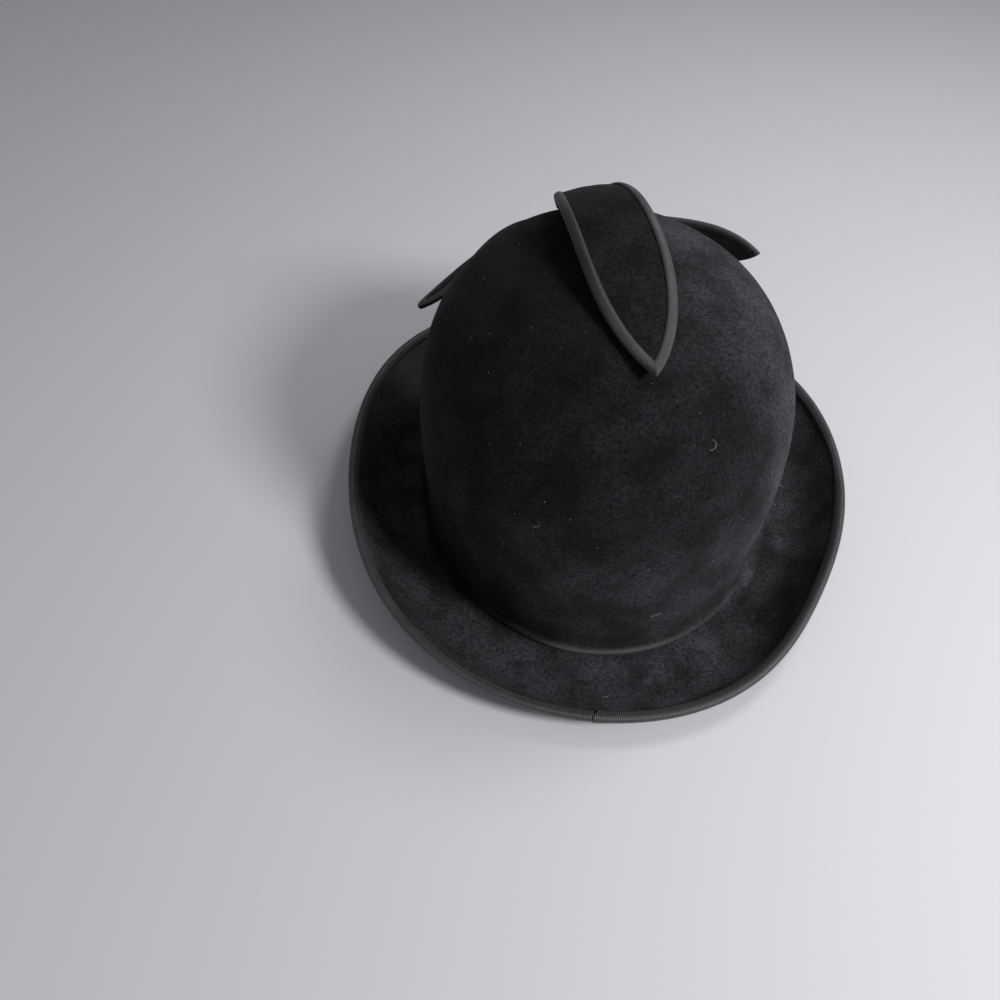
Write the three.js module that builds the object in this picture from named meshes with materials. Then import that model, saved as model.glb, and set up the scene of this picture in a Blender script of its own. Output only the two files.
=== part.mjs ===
import * as THREE from 'three';

// A black felt hat with a full round crown, a rolled brim and three felt petals over the crown's top.
// Lengths are in millimetres and angles in degrees. +Z is up, -Y is the back of the hat.
// The origin lies on the surface that the brim rests on, in the middle of the brim's outline.

// Driving dimensions
const feltWall = 2.2;
const petalWall = 1.5;
const ribbonWall = 0.45;
const ribbonWidth = { brim: 5, petal: 4 };
const ribbonCorner = 0.7;
const clearance = 0.45;
const crownCentre = { x: -3.6, y: -1.65, z: 2.8 };
const crown = { halfWidth: 83, halfLength: 98, height: 136, fullness: 5.2, swell: 0.01 };
const bend = { radius: 9, tighterBehind: 3 };
const brim = { halfWidth: 124.7, halfLength: 135.5, shiftX: 1.4, shiftY: 3.3 };
const roll = { edgeHeight: 12.2, sideLift: 11.5, frontLift: 1.9, leftLift: 3.3 };
const rollCurve = { start: 0.3, power: 2, dip: 1.5 };
const brimWaves = [
  { count: 3, share: 0.022, at: 14.7 },
  { count: 4, share: 0.018, at: 35.1 },
];
const kink = { depth: 3.6, at: -41, spread: 19.5 };

// Each petal is cut flat as a leaf and bent along its spine, which starts at the root's point, is drawn
// towards the points between, and ends at the tip's. They are measured from the middle of the crown's
// base. rootShare is the root's width as a share of the full width, and widest is where it is full.
const petals = [
  {
    name: 'petal_back',
    spine: [
      { x: -3.5, y: 84.8, z: 108.5 },
      { x: -8.4, y: 53.4, z: 151.4 },
      { x: -3.5, y: 12.3, z: 154.2 },
      { x: 0.1, y: -15.1, z: 150.7 },
      { x: 5.7, y: -38.6, z: 129.2 },
      { x: 4.5, y: -61.5, z: 130.8 },
    ],
    halfWidth: 17.1, rootShare: 0.59, widest: 0.53, tipPower: 3.2,
    rootTurn: 4.5, tipTurn: 3, cup: 2.1, rows: 26,
  },
  {
    name: 'petal_left',
    spine: [
      { x: -13, y: 90.6, z: 96.5 },
      { x: -49.1, y: 101, z: 96.7 },
      { x: -68.6, y: 73.1, z: 70.1 },
      { x: -82.9, y: 47.2, z: 82.1 },
    ],
    halfWidth: 12.7, rootShare: 0.62, widest: 0.41, tipPower: 3.6,
    rootTurn: -3.8, tipTurn: -39.4, cup: 1, rows: 20,
  },
  {
    name: 'petal_right',
    spine: [
      { x: 3, y: 93.1, z: 95.3 },
      { x: 48.3, y: 98.1, z: 87.1 },
      { x: 74.5, y: 69, z: 95.8 },
      { x: 79.7, y: 55.2, z: 100 },
    ],
    halfWidth: 12.3, rootShare: 0.62, widest: 0.44, tipPower: 3,
    rootTurn: -2.4, tipTurn: -18.5, cup: 1.1, rows: 24,
  },
];
const petalHeart = new THREE.Vector3(0, 0, 40);
const rootRounding = 0.07;
const tipMitre = 1.7;

// How finely the faces follow the felt. Rows on the crown and the brim are places along their section,
// and those of a petal are shares of its rounded root, or of its length at the tip.
const hatSides = 60;
const wallRows = [0.06, 0.14, 0.22, 0.3, 0.38, 0.46, 0.55, 0.65, 0.76, 0.88, 1, 1.35, 1.7, 2];
const brimRows = [2.08, 2.16, 2.26, 2.4, 2.55, 2.7, 2.84];
const rootRows = [0.02, 0.15, 0.45];
const tipRows = { closing: 0.965, last: 0.988 };
const petalColumns = [-1, -0.6, -0.2, 0.2, 0.6, 1];

const feltMaterial = new THREE.MeshStandardMaterial({ color: 0x111113, roughness: 1, metalness: 0 });
const ribbonMaterial = new THREE.MeshStandardMaterial({ color: 0x2c2c30, roughness: 0.8, metalness: 0 });

const radians = THREE.MathUtils.degToRad;
const clamp = THREE.MathUtils.clamp;

// Mesh making

// Turns rings of points into one closed mesh. A ring of one point is a pole. With looped set, the last
// ring joins the first one.
function skin(rings, looped = false) {
  const starts = [];
  const coordinates = [];
  for (const ring of rings) {
    starts.push(coordinates.length / 3);
    for (const point of ring) {
      coordinates.push(point.x, point.y, point.z);
    }
  }
  const triangles = [];
  const last = looped ? rings.length : rings.length - 1;
  for (let i = 0; i < last; i += 1) {
    const next = (i + 1) % rings.length;
    const count = Math.max(rings[i].length, rings[next].length);
    for (let j = 0; j < count; j += 1) {
      const k = (j + 1) % count;
      const a = starts[i] + (rings[i].length > 1 ? j : 0);
      const b = starts[i] + (rings[i].length > 1 ? k : 0);
      const c = starts[next] + (rings[next].length > 1 ? k : 0);
      const d = starts[next] + (rings[next].length > 1 ? j : 0);
      if (a !== b) {
        triangles.push([a, b, c]);
      }
      if (c !== d) {
        triangles.push([a, c, d]);
      }
    }
  }
  const inwards = enclosedVolume(coordinates, triangles) < 0;
  const faces = triangles.map(([a, b, c]) => (inwards ? [a, c, b] : [a, b, c]));
  const geometry = new THREE.BufferGeometry();
  geometry.setAttribute('position', new THREE.Float32BufferAttribute(coordinates, 3));
  geometry.setIndex(faces.flat());
  geometry.computeVertexNormals();
  return geometry;
}

// Six times the volume inside the triangles, below zero where they face inwards.
function enclosedVolume(coordinates, triangles) {
  const corner = (i) => new THREE.Vector3().fromArray(coordinates, 3 * i);
  return triangles.reduce((sum, [a, b, c]) => sum + corner(a).dot(corner(b).cross(corner(c))), 0);
}

function namedMesh(name, geometry, material) {
  const mesh = new THREE.Mesh(geometry, material);
  mesh.name = name;
  return mesh;
}

// A folded ribbon's section. inset runs in from the edge, and rise is the height over the middle of
// the felt that it holds.
function ribbonSection(wall, width) {
  const inner = wall / 2 + clearance;
  const outer = inner + ribbonWall;
  return [
    { inset: width, rise: outer },
    { inset: ribbonCorner, rise: outer },
    { inset: 0, rise: outer - ribbonCorner },
    { inset: 0, rise: ribbonCorner - outer },
    { inset: ribbonCorner, rise: -outer },
    { inset: width, rise: -outer },
    { inset: width, rise: -inner },
    { inset: ribbonWall, rise: -inner },
    { inset: ribbonWall, rise: inner },
    { inset: width, rise: inner },
  ];
}

// Crown and brim

// How far the crown's wall reaches out at a height, as a share of its reach at the base.
function crownReach(height) {
  const share = clamp(height / crown.height, 0, 1);
  return Math.sqrt(1 - share ** crown.fullness) * (1 + crown.swell * Math.sin(Math.PI * share));
}

// The brim's edge, with the slow waves of a rolled brim and one small kink. It lies higher at the sides.
function brimEdge(angle) {
  let share = 1;
  for (const wave of brimWaves) {
    share += wave.share * Math.cos(wave.count * (angle - radians(wave.at)));
  }
  const halfTurn = Math.PI;
  const ahead = THREE.MathUtils.euclideanModulo(angle - radians(kink.at) + halfTurn, 2 * halfTurn);
  const dent = kink.depth * Math.exp(-(((ahead - halfTurn) / radians(kink.spread)) ** 2));
  const lift = roll.sideLift * Math.cos(angle) ** 2 + roll.frontLift * Math.sin(angle);
  return new THREE.Vector3(
    brim.shiftX + (brim.halfWidth * share - dent) * Math.cos(angle),
    brim.shiftY + (brim.halfLength * share - dent) * Math.sin(angle),
    roll.edgeHeight + lift - roll.leftLift * Math.cos(angle),
  );
}

// A point of the hat's upper face. along runs from 0 at the crown's top to 1 at the foot of its wall,
// on to 2 round the bend, and to 3 at the brim's edge.
function hatPoint(along, angle) {
  const foot = new THREE.Vector3(crown.halfWidth * Math.cos(angle), crown.halfLength * Math.sin(angle), 0);
  const edge = brimEdge(angle);
  const outward = new THREE.Vector3(edge.x - foot.x, edge.y - foot.y, 0);
  const reach = outward.length();
  outward.normalize();
  const radius = bend.radius + bend.tighterBehind * Math.sin(angle);
  if (along <= 1) {
    const height = radius + (crown.height - radius) * Math.sin((1 - along) * Math.PI / 2);
    return foot.multiplyScalar(crownReach(height)).setZ(height);
  }
  if (along <= 2) {
    const turn = (along - 1) * Math.PI / 2;
    foot.addScaledVector(outward, radius * (1 - Math.cos(turn)));
    return foot.setZ(radius * (1 - Math.sin(turn)));
  }
  const bendShare = radius / reach;
  const share = bendShare + (1 - bendShare) * (along - 2);
  const rolled = Math.max((share - rollCurve.start) / (1 - rollCurve.start), 0) ** rollCurve.power;
  const sunk = rollCurve.dip * Math.sin(Math.PI * (along - 2));
  return foot.addScaledVector(outward, reach * share).setZ(edge.z * rolled - sunk);
}

// The upper face's outward normal, from two short steps along it.
function hatNormal(along, angle) {
  const step = 0.004;
  const down = hatPoint(along + step, angle).sub(hatPoint(Math.max(along - step, 0), angle));
  const around = hatPoint(along, angle + step).sub(hatPoint(along, angle - step));
  return around.cross(down).negate().normalize();
}

// A point at a depth under the upper face. Felt that would hang lower lies flat on the surface under it.
function feltPoint(along, angle, depth) {
  const point = hatPoint(along, angle).addScaledVector(hatNormal(along, angle), -depth);
  point.add(crownCentre);
  return point.setZ(Math.max(point.z, 0));
}

// A ring of points all round the hat. placeAt gives the place along the section at an angle.
function ringAround(placeAt, depth) {
  const ring = [];
  for (let i = 0; i < hatSides; i += 1) {
    const angle = i * 2 * Math.PI / hatSides;
    ring.push(feltPoint(placeAt(angle), angle, depth));
  }
  return ring;
}

// A ring that lies inset from the brim's edge, measured along the felt.
function brimRing(inset, depth) {
  const step = 0.01;
  const pace = (angle) => hatPoint(3, angle).distanceTo(hatPoint(3 - step, angle)) / step;
  return ringAround((angle) => 3 - inset / pace(angle), depth);
}

function crownAndBrim() {
  const rows = [...wallRows, ...brimRows];
  const edgeInset = ribbonWall + clearance;
  const top = new THREE.Vector3(crownCentre.x, crownCentre.y, crownCentre.z + crown.height);
  const innerTop = top.clone().setZ(top.z - feltWall);
  return skin([
    [top],
    ...rows.map((along) => ringAround(() => along, 0)),
    brimRing(edgeInset, 0),
    brimRing(edgeInset, feltWall),
    ...rows.toReversed().map((along) => ringAround(() => along, feltWall)),
    [innerTop],
  ]);
}

function brimBinding() {
  const section = ribbonSection(feltWall, ribbonWidth.brim);
  const rings = section.map(({ inset, rise }) => brimRing(inset, feltWall / 2 - rise));
  return skin(rings, true);
}

// Petals

// A leaf's half width at a share of its length, as a share of its full half width.
function leafShare(petal, share) {
  const swell = Math.sin(Math.min(share / petal.widest, 1) * Math.PI / 2);
  const spread = petal.rootShare + (1 - petal.rootShare) * swell;
  const closing = Math.max((share - petal.widest) / (1 - petal.widest), 0) ** petal.tipPower;
  const rounding = Math.sqrt(1 - Math.max(1 - share / rootRounding, 0) ** 2);
  return spread * (1 - closing) * rounding;
}

// A place on the line that lies inset from the flat leaf's edge: x along the spine, y across it.
function leafPlace(petal, length, inset, share) {
  return {
    x: inset + (length - inset * (1 + tipMitre)) * share,
    y: (petal.halfWidth - inset) * leafShare(petal, share),
  };
}

// A smooth curve shaped by a petal's spine points, by de Casteljau's rule.
class Spine extends THREE.Curve {
  constructor(points) {
    super();
    this.points = points.map(({ x, y, z }) => new THREE.Vector3(x, y, z));
  }

  getPoint(share, target = new THREE.Vector3()) {
    let points = this.points;
    while (points.length > 1) {
      const starts = points;
      points = starts.slice(1).map((end, i) => starts[i].clone().lerp(end, share));
    }
    return target.copy(points[0]);
  }
}

// Bends points of the flat leaf into place. x runs along the spine from the root, y across it, and
// rise over the felt's middle.
function bender(petal) {
  const spine = new Spine(petal.spine);
  const length = spine.getLength();
  const bent = (x, y, rise) => {
    const share = clamp(x / length, 0, 1);
    const middle = spine.getPointAt(share);
    const tangent = spine.getTangentAt(share);
    const side = tangent.clone().cross(middle.clone().sub(petalHeart)).normalize();
    side.applyAxisAngle(tangent, radians(THREE.MathUtils.lerp(petal.rootTurn, petal.tipTurn, share)));
    const up = side.clone().cross(tangent);
    const across = y / petal.halfWidth;
    const slope = Math.atan(2 * petal.cup * across / petal.halfWidth);
    return middle
      .addScaledVector(side, y + rise * Math.sin(slope))
      .addScaledVector(up, rise * Math.cos(slope) - petal.cup * across ** 2)
      .add(crownCentre);
  };
  return { bent, length };
}

// Shares of the length at which a petal has its rows, closer where the root rounds and the tip closes.
function leafRows(petal) {
  const rows = rootRows.map((row) => row * rootRounding);
  const step = (tipRows.closing - rootRounding) / (petal.rows - 1);
  for (let i = 0; i < petal.rows; i += 1) {
    rows.push(rootRounding + i * step);
  }
  rows.push(tipRows.last);
  return rows;
}

function petalFelt(petal) {
  const { bent, length } = bender(petal);
  const inset = ribbonWall + clearance;
  const rings = leafRows(petal).map((share) => {
    const edge = leafPlace(petal, length, inset, share);
    const upper = petalColumns.map((column) => bent(edge.x, column * edge.y, petalWall / 2));
    const lower = petalColumns.toReversed().map((column) => bent(edge.x, column * edge.y, -petalWall / 2));
    return [...upper, ...lower];
  });
  const root = bent(leafPlace(petal, length, inset, 0).x, 0, 0);
  const tip = bent(leafPlace(petal, length, inset, 1).x, 0, 0);
  return skin([[root], ...rings, [tip]]);
}

function petalBinding(petal) {
  const { bent, length } = bender(petal);
  const shares = leafRows(petal);
  const stations = [
    { share: 0, side: 0 },
    ...shares.map((share) => ({ share, side: 1 })),
    { share: 1, side: 0 },
    ...shares.toReversed().map((share) => ({ share, side: -1 })),
  ];
  const section = ribbonSection(petalWall, ribbonWidth.petal);
  const rings = stations.map(({ share, side }) => section.map(({ inset, rise }) => {
    const edge = leafPlace(petal, length, inset, share);
    return bent(edge.x, side * edge.y, rise);
  }));
  return skin(rings, true);
}

const hat = new THREE.Group();
hat.add(namedMesh('crown_and_brim', crownAndBrim(), feltMaterial));
hat.add(namedMesh('brim_binding', brimBinding(), ribbonMaterial));
for (const petal of petals) {
  hat.add(namedMesh(petal.name, petalFelt(petal), feltMaterial));
  hat.add(namedMesh(`${petal.name}_binding`, petalBinding(petal), ribbonMaterial));
}

export default hat;
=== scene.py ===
import math

import bpy
import numpy as np
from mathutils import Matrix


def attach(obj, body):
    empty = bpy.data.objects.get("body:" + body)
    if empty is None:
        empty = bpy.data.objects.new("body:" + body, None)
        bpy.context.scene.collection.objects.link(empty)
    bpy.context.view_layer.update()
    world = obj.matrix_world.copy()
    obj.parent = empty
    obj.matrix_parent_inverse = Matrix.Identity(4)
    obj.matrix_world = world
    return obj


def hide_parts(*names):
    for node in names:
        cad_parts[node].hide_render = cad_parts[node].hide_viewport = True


# A black velour felt hat: one piece of felt, a ribbed ribbon folded over the brim's edge, and three
# felt petals with the same ribbon round them. Shapes are worked out in millimetres, and the meshes
# hold metres. +Z is up, -Y is the back of the hat.

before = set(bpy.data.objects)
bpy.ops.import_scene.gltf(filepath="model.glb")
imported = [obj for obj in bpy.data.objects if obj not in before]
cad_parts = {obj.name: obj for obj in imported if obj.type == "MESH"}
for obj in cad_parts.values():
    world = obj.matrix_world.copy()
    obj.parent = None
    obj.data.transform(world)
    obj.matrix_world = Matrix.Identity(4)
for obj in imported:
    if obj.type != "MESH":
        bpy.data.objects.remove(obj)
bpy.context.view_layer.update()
mm = 0.001
print("frame loaded:", len(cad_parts), "nodes")


# Camera

viewpoint = {
    "placeMm": (-61.6, -254.35, 306.4),
    "turnDegrees": (38.96, 0.15, -2.81),   # tilt from straight down, roll, pan
    "lensMm": 27.0,
    "sensorMm": 36.0,
    "nearestM": 0.01,
}


# The camera that the hat's shape was fitted with.
def setCamera():
    data = bpy.data.cameras.new("photoCamera")
    data.lens = viewpoint["lensMm"]
    data.sensor_width = viewpoint["sensorMm"]
    data.clip_start = viewpoint["nearestM"]
    camera = bpy.data.objects.new("photoCamera", data)
    camera.location = [c * mm for c in viewpoint["placeMm"]]
    camera.rotation_euler = [math.radians(a) for a in viewpoint["turnDegrees"]]
    bpy.context.scene.collection.objects.link(camera)
    bpy.context.scene.camera = camera
    bpy.context.scene.view_settings.view_transform = "Standard"


setCamera()
print("camera set")


# Mesh making

# Quads between neighbouring rings of points that are numbered ring by ring. Each ring is closed, and a
# loop joins the last ring to the first.
def ringQuads(rings, wide, loop=False):
    i, j = np.meshgrid(np.arange(rings if loop else rings - 1), np.arange(wide), indexing="ij")
    nextI = (i + 1) % rings
    nextJ = (j + 1) % wide
    corners = [i * wide + j, i * wide + nextJ, nextI * wide + nextJ, nextI * wide + j]
    return np.stack(corners, -1).reshape(-1, 4)


# Triangles from one pole point to each side of a closed ring of points.
def poleFan(pole, ring, inwards=False):
    following = np.roll(ring, -1)
    sides = (following, ring) if inwards else (ring, following)
    return np.stack([np.full_like(ring, pole), *sides], -1)


# Six times the volume within the faces, below zero where they face inwards.
def insideVolume(points, faces):
    total = 0.0
    for corners in faces:
        for k in range(1, corners.shape[1] - 1):
            a, b, c = points[corners[:, 0]], points[corners[:, k]], points[corners[:, k + 1]]
            total += np.einsum("ij,ij->i", a, np.cross(b, c)).sum()
    return total


# Puts whole arrays of points and faces into a mesh, with its faces outwards, and files the piece.
def buildPiece(name, points, faces, material, nodes=(), ribbonMap=None, shares=()):
    if insideVolume(points, faces) < 0:
        faces = [corners[:, ::-1] for corners in faces]
    loops = np.concatenate([corners.ravel() for corners in faces])
    counts = np.concatenate([np.full(len(corners), corners.shape[1]) for corners in faces])
    mesh = bpy.data.meshes.new(name)
    mesh.vertices.add(len(points))
    mesh.vertices.foreach_set("co", (points * mm).astype(np.float32).ravel())
    mesh.loops.add(len(loops))
    mesh.loops.foreach_set("vertex_index", loops.astype(np.int32))
    mesh.polygons.add(len(counts))
    mesh.polygons.foreach_set("loop_start", (np.cumsum(counts) - counts).astype(np.int32))
    mesh.update(calc_edges=True)
    mesh.polygons.foreach_set("use_smooth", np.ones(len(counts), bool))
    if ribbonMap is not None:
        layer = mesh.uv_layers.new(name="ribbonMap")
        layer.data.foreach_set("uv", ribbonMap[loops].astype(np.float32).ravel())
    for label, values in dict(shares).items():
        layer = mesh.attributes.new(label, "FLOAT", "POINT")
        layer.data.foreach_set("value", values.astype(np.float32))
    mesh.validate()
    mesh.materials.append(material)
    piece = bpy.data.objects.new(name, mesh)
    bpy.context.scene.collection.objects.link(piece)
    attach(piece, "root")
    if nodes:
        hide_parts(*nodes)
    print(name, "faces:", len(counts))


# Smooth unevenness of about -1 to 1: a sum of sine waves in seeded directions, each as long as the
# scale, give or take a third.
def unevenness(points, scale, seed):
    waves = 18
    rng = np.random.default_rng(seed)
    directions = rng.normal(size=(waves, 3))
    directions /= np.linalg.norm(directions, axis=1)[:, None]
    lengths = scale * rng.uniform(0.67, 1.33, waves)
    starts = rng.uniform(0, 2 * np.pi, waves)
    total = np.zeros(points.shape[:-1])
    for direction, length, start in zip(directions, lengths, starts):
        total += np.sin(points @ direction * (2 * np.pi / length) + start)
    return total / np.sqrt(2 * waves)


# An even ramp from 0 at the low end to 1 at the high end, with no corner at either.
def ramp(value, low, high):
    share = np.clip((value - low) / (high - low), 0, 1)
    return share * share * (3 - 2 * share)


# How far an angle is from another, in degrees, from -180 to 180.
def turnFrom(angle, start):
    return np.mod(np.degrees(angle) - start + 180, 360) - 180


# Materials

# Noises have a scale to the metre, a detail and a roughness. Ranges are the values that become 0 and 1.
feltLook = {
    "dark": (0.0016, 0.0015, 0.0020),        # laid nap, between its tufts and on them
    "light": (0.0148, 0.0141, 0.0165),
    "paleAndLitDark": (0.0080, 0.0077, 0.0090),  # paler nap, and painted light and shade
    "paleAndLitLight": (0.0740, 0.0723, 0.0805),
    # The pale tone of wear along the crease, also used for painted pools of light.
    "wearAndPaintedLight": (0.110, 0.110, 0.113),
    "warm": (1.03, 0.98, 1.00),              # shares of each colour in patches of tint
    "cool": (0.96, 1.01, 1.04),
    "cloudNoise": (55.0, 2.0, 0.55),         # patches of brushed nap
    "cloudRange": (0.32, 0.68),
    "cloudShare": 1.1, "plainShare": 0.45,
    "tintNoise": (150.0, 2.0, 0.6),
    "tintRange": (0.4, 0.6),
    "mottleNoise": (720.0, 2.0, 0.6),
    "mottleShare": 1.3,
    "grainNoise": (1900.0, 2.0, 0.6),
    "tuftRange": (0.74, 1.56),
    "roughness": 0.95,
    "specular": 0.12,
    "sheen": 0.03,
    "sheenRoughness": 0.40,
    "sheenTint": (0.93, 0.91, 1.0),
    "mottleHeight": 0.6, "grainHeight": 0.5,
    "bumpDepth": 0.00030,
    "bumpStrength": 0.45,
}
ribbonLook = {
    # The dark groove colour is painted shade between the ribs.
    "groove": (0.009, 0.009, 0.010),
    "crest": (0.120, 0.119, 0.126),
    # Painted shade on the petals' ribbons.
    "paintedShadeColour": (0.010, 0.010, 0.011),
    "selvedge": (0.055, 0.055, 0.058),
    "selvedgeRange": (0.86, 0.97),           # shares of the ribbon's width
    "ribPitchMm": 0.9,
    "ribRange": (-0.85, 0.65),
    "threadNoise": (2600.0, 2.0, 0.6),
    "threadShare": 0.7, "evenShare": 0.5,
    "wearNoise": (70.0, 4.0, 0.65),
    "wearRange": (0.3, 0.7),
    "wearShare": 0.5, "freshShare": 0.65,
    "roughness": 0.46,
    "specular": 0.45,
    "sheen": 0.08,
    "sheenRoughness": 0.5,
    "bumpDepth": 0.0001,
    "bumpStrength": 0.5,
}
lintLook = {
    "colour": (0.66, 0.66, 0.67),
    "shadedShare": 0.4,
    "noise": (300.0, 1.0, 0.5),
    "range": (0.3, 0.7),
    "roughness": 0.9,
    "specular": 0.2,
}


# A material with its shader, and short calls that add nodes and links to it.
class Look:
    def __init__(self, name):
        self.material = bpy.data.materials.new(name)
        self.material.use_nodes = True
        self.nodes = self.material.node_tree.nodes
        self.links = self.material.node_tree.links
        self.shader = self.nodes["Principled BSDF"]

    # A new node with its settings, and with its inputs linked or given.
    def add(self, kind, inputs=(), **settings):
        node = self.nodes.new(kind)
        for key, value in settings.items():
            setattr(node, key, value)
        for key, value in dict(inputs).items():
            if isinstance(value, bpy.types.NodeSocket):
                self.links.new(value, node.inputs[key])
            else:
                node.inputs[key].default_value = value
        return node

    def noise(self, vector, setting):
        scale, detail, roughness = setting
        inputs = {"Vector": vector, "Scale": scale, "Detail": detail, "Roughness": roughness}
        return self.add("ShaderNodeTexNoise", inputs).outputs["Fac"]

    def math(self, operation, a, b=0.0, clamp=False):
        node = self.add("ShaderNodeMath", {0: a, 1: b}, operation=operation, use_clamp=clamp)
        return node.outputs[0]

    # A value times a share, and an even part added to it.
    def scaled(self, value, share, even):
        return self.math("ADD", self.math("MULTIPLY", value, share), even)

    # A value between a low and a high end, as 0 to 1.
    def span(self, value, ends):
        inputs = {"Value": value, "From Min": ends[0], "From Max": ends[1]}
        return self.add("ShaderNodeMapRange", inputs, clamp=True).outputs["Result"]

    def attribute(self, name):
        return self.add("ShaderNodeAttribute", attribute_name=name).outputs["Fac"]

    def bump(self, height, look):
        inputs = {"Height": height, "Distance": look["bumpDepth"], "Strength": look["bumpStrength"]}
        self.connect("Normal", self.add("ShaderNodeBump", inputs).outputs["Normal"])

    # Two colours mixed. The mix node's sockets 0, 6 and 7 take the factor and the colours.
    def blend(self, factor, a, b):
        node = self.add("ShaderNodeMix", data_type="RGBA")
        for key, value in ((0, factor), (6, a), (7, b)):
            if isinstance(value, bpy.types.NodeSocket):
                self.links.new(value, node.inputs[key])
            else:
                node.inputs[key].default_value = value if key == 0 else (*value, 1.0)
        return node.outputs[2]

    # One of the felt's colours, warmer or cooler from patch to patch.
    def tinted(self, tint, label):
        warm, cool = (np.multiply(feltLook[label], feltLook[side]).tolist() for side in ("warm", "cool"))
        return self.blend(tint, warm, cool)

    # Even values of the shader, and values that are linked to it.
    def set(self, **values):
        for key, value in values.items():
            self.shader.inputs[key.replace("_", " ")].default_value = value

    def connect(self, socket, value):
        self.links.new(value, self.shader.inputs[socket])


# Velour nap: brushed clouds, tufts a few millimetres wide and a fine grain, each lighter or darker than
# the next.
# It is paler round the crown's foot and on the brim, and it takes painted light and shade: painted sheen
# on the crown's right flank and top, painted shade on its left and on one stretch of the brim, wear along
# the crease, and painted pools of light on the brim and on a petal's underside.
def feltMaterial():
    look = Look("velourFelt")
    place = look.add("ShaderNodeTexCoord").outputs["Object"]
    cloud = look.span(look.noise(place, feltLook["cloudNoise"]), feltLook["cloudRange"])
    tint = look.span(look.noise(place, feltLook["tintNoise"]), feltLook["tintRange"])
    mottle = look.noise(place, feltLook["mottleNoise"])
    grain = look.noise(place, feltLook["grainNoise"])
    fine = look.scaled(mottle, feltLook["mottleShare"], grain)
    cloudy = look.scaled(cloud, feltLook["cloudShare"], feltLook["plainShare"])
    tufts = look.math("MULTIPLY", look.span(fine, feltLook["tuftRange"]), cloudy)
    laid = look.blend(tufts, feltLook["dark"], look.tinted(tint, "light"))
    paleAndLit = look.blend(tufts, feltLook["paleAndLitDark"], look.tinted(tint, "paleAndLitLight"))
    # Paler round the crown's foot and on the brim, with painted sheen on the crown's right flank and top
    # and painted shade on its left and on one stretch of the brim.
    surface = look.blend(look.attribute("paleNapAndLight"), laid, paleAndLit)
    # Wear along the crease, and painted light on the brim and on a petal's underside.
    look.connect("Base Color", look.blend(look.attribute("wearAndPaintedLight"), surface, feltLook["wearAndPaintedLight"]))
    grainHeight = look.math("MULTIPLY", grain, feltLook["grainHeight"])
    look.bump(look.scaled(mottle, feltLook["mottleHeight"], grainHeight), feltLook)
    look.set(Roughness=feltLook["roughness"], Specular_IOR_Level=feltLook["specular"])
    look.set(Sheen_Weight=feltLook["sheen"], Sheen_Roughness=feltLook["sheenRoughness"])
    look.set(Sheen_Tint=(*feltLook["sheenTint"], 1.0))
    return look.material


# Ribbed ribbon: paler ribs with painted shade in the grooves between them, threads across them, woven
# selvedges, and painted shade along the petals' ribbons where they lie away from the lamps. The ribs
# themselves are in the mesh.
# The map holds the run along the ribbon in millimetres, and the inset as a share of its width.
def ribbonMaterial():
    look = Look("ribbedRibbon")
    strip = look.add("ShaderNodeUVMap", uv_map="ribbonMap").outputs["UV"]
    parts = look.add("ShaderNodeSeparateXYZ", {0: strip})
    place = look.add("ShaderNodeTexCoord").outputs["Object"]
    ribs = look.math("MULTIPLY", parts.outputs["X"], 2 * math.pi / ribbonLook["ribPitchMm"])
    crest = look.span(look.math("COSINE", ribs), ribbonLook["ribRange"])
    threads = look.noise(place, ribbonLook["threadNoise"])
    wear = look.span(look.noise(place, ribbonLook["wearNoise"]), ribbonLook["wearRange"])
    woven = look.scaled(threads, ribbonLook["threadShare"], ribbonLook["evenShare"])
    rubbed = look.scaled(wear, ribbonLook["wearShare"], ribbonLook["freshShare"])
    tone = look.math("MULTIPLY", look.math("MULTIPLY", crest, woven), rubbed, clamp=True)
    body = look.blend(tone, ribbonLook["groove"], ribbonLook["crest"])
    # Painted shade where a petal's ribbon lies away from the lamps.
    body = look.blend(look.attribute("paintedShade"), body, ribbonLook["paintedShadeColour"])
    selvedge = look.span(parts.outputs["Y"], ribbonLook["selvedgeRange"])
    look.connect("Base Color", look.blend(selvedge, body, ribbonLook["selvedge"]))
    look.bump(threads, ribbonLook)
    look.set(Roughness=ribbonLook["roughness"], Specular_IOR_Level=ribbonLook["specular"])
    look.set(Sheen_Weight=ribbonLook["sheen"], Sheen_Roughness=ribbonLook["sheenRoughness"])
    return look.material


# Pale lint, each fibre lighter and darker along itself.
def lintMaterial():
    look = Look("paleLint")
    place = look.add("ShaderNodeTexCoord").outputs["Object"]
    tone = look.span(look.noise(place, lintLook["noise"]), lintLook["range"])
    shaded = [lintLook["shadedShare"] * share for share in lintLook["colour"]]
    look.connect("Base Color", look.blend(tone, shaded, lintLook["colour"]))
    look.set(Roughness=lintLook["roughness"], Specular_IOR_Level=lintLook["specular"])
    return look.material


felt = feltMaterial()
ribbon = ribbonMaterial()
lintFibre = lintMaterial()
print("materials ready")


# Crown and brim

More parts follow.
